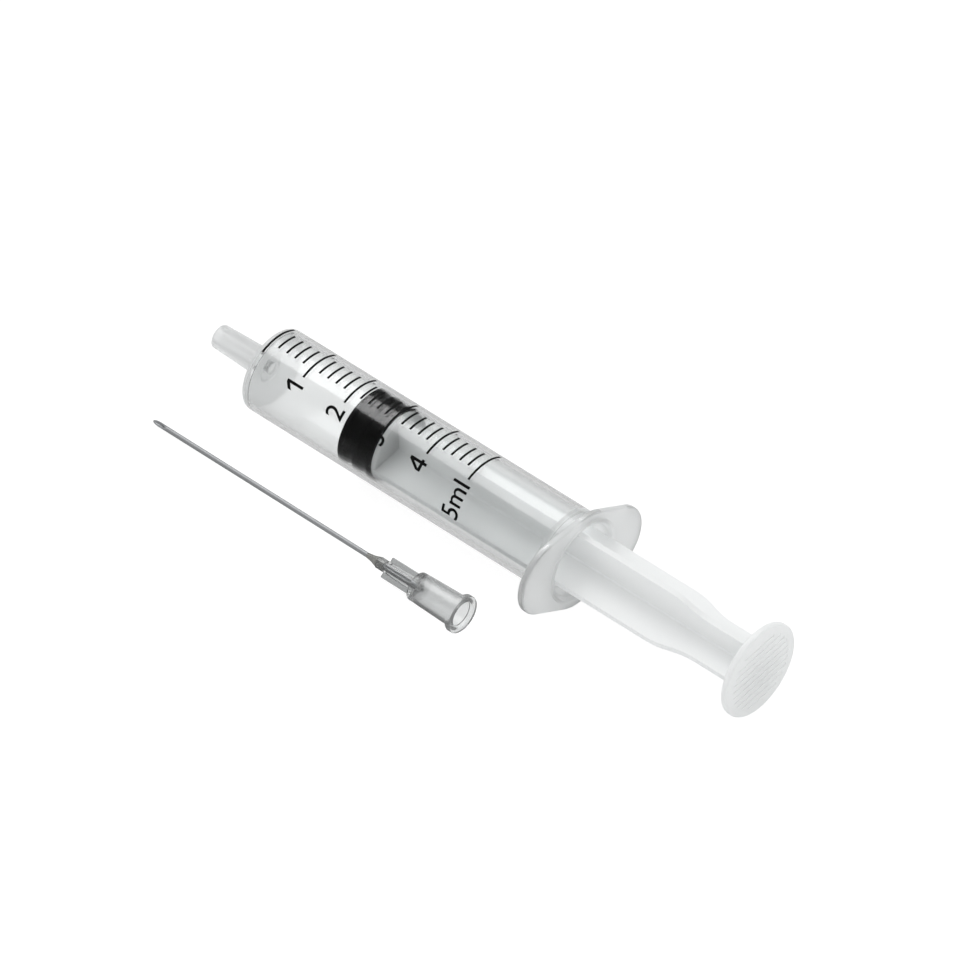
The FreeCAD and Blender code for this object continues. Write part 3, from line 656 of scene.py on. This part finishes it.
def makeThumb():
    # a rounded disc, with a bar copied across its rear face for each groove between the ridges
    r = rod
    edge = r["thumbRound"]
    stations = [(r["thumbFront"], 0)]
    stations += arc(r["thumbFront"] + edge, r["thumb"] - edge, edge, 180, 90)
    stations += arc(r["end"] - edge, r["thumb"] - edge, edge, 90, 0) + [(r["end"], 0)]
    thumb = turnedPiece("thumbDisc", stations, 128)
    bpy.ops.mesh.primitive_cube_add(size=1)
    bar = bpy.context.object
    bars = []
    for i in range(r["ridges"]):
        level = (i - (r["ridges"] - 1) / 2) * r["ridgePitch"]
        reach = math.sqrt(r["ridgeField"] ** 2 - level ** 2)
        copy = bar.copy()
        copy.data = bar.data.copy()
        bpy.context.collection.objects.link(copy)
        copy.dimensions = (2 * r["ridgeDepth"] * mm, 2 * reach * mm, r["ridgeGap"] * mm)
        copy.location = (r["end"] * mm, 0, level * mm)
        bars.append(copy)
    bpy.data.objects.remove(bar)
    onlySelect(bars[0])
    for copy in bars:
        copy.select_set(True)
    bpy.ops.object.join()
    grooves = bpy.context.object
    applyAll(grooves)
    return combine(thumb, grooves, "DIFFERENCE")


def isRootFace(centre):
    # the rounded roots, where two ribs meet, which get the gloss and the painted highlight
    out = rod["thickness"] / 2 + rod["rootRound"] + rod["glossAndHighlightBeyondRoot"]
    return rod["discRear"] < centre.x < rod["thumbFront"] and max(abs(centre.y), abs(centre.z)) < out


plunger = combine(makeCross(), makeHeadAndDisc(), "UNION")
plunger = combine(plunger, makeThumb(), "UNION")
# the rod, with the lighter copy of its plastic on the rib roots as a painted highlight
finishPiece(
    plunger, barrelFront, barrelAxis, turns["rod"], natural,
    body="plunger_rod", replaced=["plunger_rod"], second=polishedWithPaintedHighlight, isSecond=isRootFace)

# needle

hub = {
    "mouth": 2.15, "depth": 8.2, "wall": 0.45, "floor": 1.2, "taper": 0.03, "socketRound": 0.2, "edge": 0.1,
    "rim": 3.13, "rimThickness": 0.95, "rimRound": 0.15, "rimFillet": (0.12, 0.1),
    "neckOut": 1.15, "neckStep": 0.15, "noseOut": 0.95, "noseLength": 1.7, "well": 0.68, "wellDepth": 1.4,
    "finLength": 6.0, "fin": 1.75, "finFrom": 0.6, "finThickness": 0.5, "finRound": 0.18, "finMargin": (0.1, 0.02),
    "tube": 0.4, "tubeBore": 0.26, "bevel": 3.3, "overrun": 0.5,
    "glueOut": 0.85, "glueLength": 2.2,
    "glueSkirt": (1.1, 0.16), "glueSwell": (0.4, 0.08), "glueTop": 0.12, "glueEdge": 0.04,
}
hub["socketFloor"] = needleLength - hub["depth"]
hub["socketFront"] = hub["socketFloor"] - hub["floor"]
hub["finFront"] = hub["socketFront"] - hub["finLength"]
hub["front"] = hub["finFront"] - hub["noseLength"]
hub["wellFloor"] = hub["front"] + hub["wellDepth"]


def makeHub():
    h = hub
    inner = h["mouth"] - h["taper"] * h["depth"]
    outer = inner + h["wall"]
    rimFront = needleLength - h["rimThickness"]
    edge, rim, socket = h["edge"], h["rimRound"], h["socketRound"]
    filletX, filletR = h["rimFillet"]
    stations = [(h["front"], h["well"]), (h["front"], h["noseOut"] - edge), (h["front"] + edge, h["noseOut"])]
    stations += [(h["finFront"], h["noseOut"]), (h["socketFront"] - h["neckStep"], h["neckOut"])]
    stations += arc(h["socketFront"] + socket, outer - socket, socket, 175, 92)
    stations += [(rimFront - filletX, h["mouth"] + h["wall"] - h["taper"] * h["rimThickness"])]
    stations += [(rimFront, h["mouth"] + h["wall"] + filletR), (rimFront, h["rim"] - rim)]
    stations += arc(rimFront + rim, h["rim"] - rim, rim, 170, 90, 4)
    stations += arc(needleLength - rim, h["rim"] - rim, rim, 90, 0, 4)
    stations += [(needleLength, h["mouth"] + edge), (needleLength - edge, h["mouth"]), (h["socketFloor"] + edge, inner)]
    stations += [(h["socketFloor"], inner - edge), (h["socketFloor"], h["tube"]), (h["wellFloor"], h["tube"])]
    stations += [(h["wellFloor"], h["well"]), (h["front"], h["well"])]
    piece = turnedPiece("needleHub", stations, 96)
    for turn in (0, 90, 180, 270):
        bpy.ops.mesh.primitive_cube_add(size=1)
        fin = bpy.context.object
        start, end = h["finFront"], h["socketFront"] + h["floor"] / 2
        fin.dimensions = ((end - start) * mm, h["finThickness"] * mm, (h["fin"] - h["finFrom"]) * mm)
        fin.location = ((start + end) / 2 * mm, 0, (h["fin"] + h["finFrom"]) / 2 * mm)
        applyAll(fin)
        editAll(fin)
        bpy.ops.mesh.bevel(offset=h["finRound"] * mm, segments=3, affect="EDGES")
        bpy.ops.object.mode_set(mode="OBJECT")
        fin.rotation_euler = (math.radians(turn), 0, 0)
        applyAll(fin)
        piece = combine(piece, fin, "UNION")
    return piece


def makeCannula():
    # a tube that starts before the point and is cut off on the slant
    h = hub
    start, end = -h["overrun"], h["socketFloor"]
    tube = turnedPiece("needleTube", [
        (start, h["tubeBore"]), (start, h["tube"]), (end, h["tube"]), (end, h["tubeBore"]), (start, h["tubeBore"])], 48)
    editAll(tube)
    slope = math.atan2(2 * h["tube"], h["bevel"])
    bpy.ops.mesh.bisect(
        plane_co=(0, 0, -h["tube"] * mm), plane_no=(-math.sin(slope), 0, math.cos(slope)),
        use_fill=True, clear_outer=True)
    bpy.ops.mesh.select_all(action="SELECT")
    bpy.ops.mesh.normals_make_consistent(inside=False)
    bpy.ops.object.mode_set(mode="OBJECT")
    return tube


def makeGlue():
    # a bead with a long skirt along the tube, and the fill of the well behind it
    h = hub
    skirtX, skirtR = h["glueSkirt"]
    swellX, swellR = h["glueSwell"]
    start = (h["front"] - h["glueLength"], h["tube"])
    stations = [start, (h["front"] - skirtX, h["tube"] + skirtR), (h["front"] - swellX, h["glueOut"] - swellR)]
    stations += [(h["front"] - h["glueTop"], h["glueOut"]), (h["front"], h["glueOut"] - h["glueEdge"])]
    stations += [(h["front"], h["well"]), (h["wellFloor"], h["well"]), (h["wellFloor"], h["tube"]), start]
    return turnedPiece("needleGlue", stations, 64)


def isFinFace(centre):
    # the faces of the fins, which get the painted shade
    along, out = hub["finMargin"]
    isBeside = hub["finFront"] - along < centre.x < hub["socketFront"]
    return isBeside and math.hypot(centre.y, centre.z) > hub["neckOut"] + out


# the hub, with painted shade on its fins
finishPiece(
    makeHub(), needlePoint, needleAxis, turns["needle"], tinted,
    body="barrel", replaced=["needle_hub"], second=tintedWithPaintedShade, isSecond=isFinFace)
finishPiece(
    makeCannula(), needlePoint, needleAxis, turns["needle"], steel,
    body="barrel", replaced=["needle_cannula"])
finishPiece(
    makeGlue(), needlePoint, needleAxis, turns["needle"], epoxy,
    body="barrel", replaced=["needle_glue"])

# floor, world and lamp

studio = {
    "floorSize": 3.0, "floorLevel": -0.00005,  # metres
    "sheet": "#E6E6E6", "shade": "#6E6E6E", "glow": 0.93, "through": 1.0, "mirrored": 0.75,
    "card": 0.03, "cardFrom": -0.003, "cardTo": -0.010,  # the card's level, and where it fades in, in metres along Y
    "roomSeen": 1.0, "roomSoft": 0.8, "roomThrough": 1.0, "curtain": 0.02,
    "lampPlace": (-0.27, 0.155, 0.51), "lampSize": (0.5, 0.34), "lampPower": 1.6,  # metres and watts
}


def rayHistory(material):
    # 1 after a matt surface, 1 after a gloss one, and 1 just out of plastic. The first two stay 0 straight from the
    # eye, through plastic too
    path = addNode(material, "ShaderNodeLightPath")
    return [
        addNode(material, "ShaderNodeMath", {"operation": "GREATER_THAN"}, {"Value": (path, depth)})
        for depth in ("Diffuse Depth", "Glossy Depth", "Is Transmission Ray")]


def whiteFloor():
    # pale sheet: white to the eye and through plastic, plain for soft light, and with a black card on its front part
    # for gloss
    material = newMaterial("whiteSheet")
    afterMatt, afterGloss, outOfPlastic = rayHistory(material)
    sheet = addNode(material, "ShaderNodeBsdfDiffuse", {"Color": hexColour(studio["sheet"])})
    shade = addNode(material, "ShaderNodeBsdfDiffuse", {"Color": hexColour(studio["shade"])})
    glow = addNode(material, "ShaderNodeEmission", {"Strength": studio["glow"]})
    seen = addNode(material, "ShaderNodeAddShader", {}, {0: (shade, 0), 1: (glow, 0)})
    place = addNode(material, "ShaderNodeNewGeometry")
    split = addNode(material, "ShaderNodeSeparateXYZ", {}, {"Vector": (place, "Position")})
    level = addNode(material, "ShaderNodeMapRange", {
        "From Min": studio["cardTo"], "From Max": studio["cardFrom"],
        "To Min": studio["card"], "To Max": studio["mirrored"],
    }, {"Value": (split, "Y")})
    card = addNode(material, "ShaderNodeEmission", {}, {"Strength": (level, "Result")})
    through = addNode(material, "ShaderNodeEmission", {"Strength": studio["through"]})
    soft = addNode(material, "ShaderNodeMixShader", {}, {
        "Fac": (outOfPlastic, "Value"), 1: (sheet, 0), 2: (through, 0),
    })
    direct = addNode(material, "ShaderNodeMixShader", {}, {"Fac": (afterGloss, "Value"), 1: (seen, 0), 2: (card, 0)})
    surface = addNode(material, "ShaderNodeMixShader", {}, {"Fac": (afterMatt, "Value"), 1: (direct, 0), 2: (soft, 0)})
    addNode(material, "ShaderNodeOutputMaterial", {}, {"Surface": (surface, "Shader")})
    return material


def addFloor():
    bpy.ops.mesh.primitive_plane_add(size=studio["floorSize"], location=(0, 0, studio["floorLevel"]))
    floor = bpy.context.object
    floor.name = "floor"
    floor.data.materials.append(whiteFloor())


def addWorld():
    # a white room for the eye, through plastic too, and for soft light, hung with black cloth where gloss looks
    world = bpy.data.worlds.new("studio")
    bpy.context.scene.world = world
    world.use_nodes = True
    world.node_tree.nodes.clear()
    afterMatt, afterGloss, outOfPlastic = rayHistory(world)
    seen, soft, through, curtain = (
        addNode(world, "ShaderNodeBackground", {"Color": (1, 1, 1, 1), "Strength": studio[part]})
        for part in ("roomSeen", "roomSoft", "roomThrough", "curtain"))
    soft = addNode(world, "ShaderNodeMixShader", {}, {"Fac": (outOfPlastic, "Value"), 1: (soft, 0), 2: (through, 0)})
    direct = addNode(world, "ShaderNodeMixShader", {}, {"Fac": (afterGloss, "Value"), 1: (seen, 0), 2: (curtain, 0)})
    surface = addNode(world, "ShaderNodeMixShader", {}, {"Fac": (afterMatt, "Value"), 1: (direct, 0), 2: (soft, 0)})
    addNode(world, "ShaderNodeOutputWorld", {}, {"Surface": (surface, "Shader")})


def addLamp():
    # a soft box above, behind and to the left, aimed at the middle of the object
    light = bpy.data.lights.new("overhead", "AREA")
    light.shape = "RECTANGLE"
    light.size, light.size_y = studio["lampSize"]
    light.energy = studio["lampPower"]
    source = bpy.data.objects.new("overhead", light)
    bpy.context.collection.objects.link(source)
    source.location = studio["lampPlace"]
    source.rotation_euler = (-Vector(studio["lampPlace"])).to_track_quat("-Z", "Y").to_euler()


addFloor()
addWorld()
addLamp()
print("floor, world and lamp ready")

# camera

view = {
    "heading": 40.569, "height": 45.547, "roll": 1.189,  # degrees
    "aim": (6.697, 3.039, 6.983), "slide": (-6.011, 7.114),  # millimetres, the slide to the right and up in the view
    "distance": 1.8, "clipStart": 0.05,  # metres
    "lens": 451.8, "sensorWidth": 36,  # millimetres
}


def addCamera():
    heading, height, roll = (math.radians(view[k]) for k in ("heading", "height", "roll"))
    right = Vector((math.cos(heading), math.sin(heading), 0))
    toward = Vector((math.sin(heading), -math.cos(heading), 0))
    back = toward * math.cos(height) + Vector((0, 0, 1)) * math.sin(height)
    up = Vector((0, 0, 1)) * math.cos(height) - toward * math.sin(height)
    sideways = right * math.cos(roll) + up * math.sin(roll)
    upward = up * math.cos(roll) - right * math.sin(roll)
    aim = (Vector(view["aim"]) + sideways * view["slide"][0] + upward * view["slide"][1]) * mm
    camera = bpy.data.cameras.new("camera")
    camera.lens = view["lens"]
    camera.sensor_width = view["sensorWidth"]
    camera.clip_start = view["clipStart"]
    holder = bpy.data.objects.new("camera", camera)
    bpy.context.collection.objects.link(holder)
    turn = Matrix((sideways, upward, back)).transposed().to_4x4()
    holder.matrix_world = Matrix.Translation(aim + back * view["distance"]) @ turn
    bpy.context.scene.camera = holder


addCamera()
bpy.context.scene.view_settings.view_transform = "Standard"

print("camera ready")
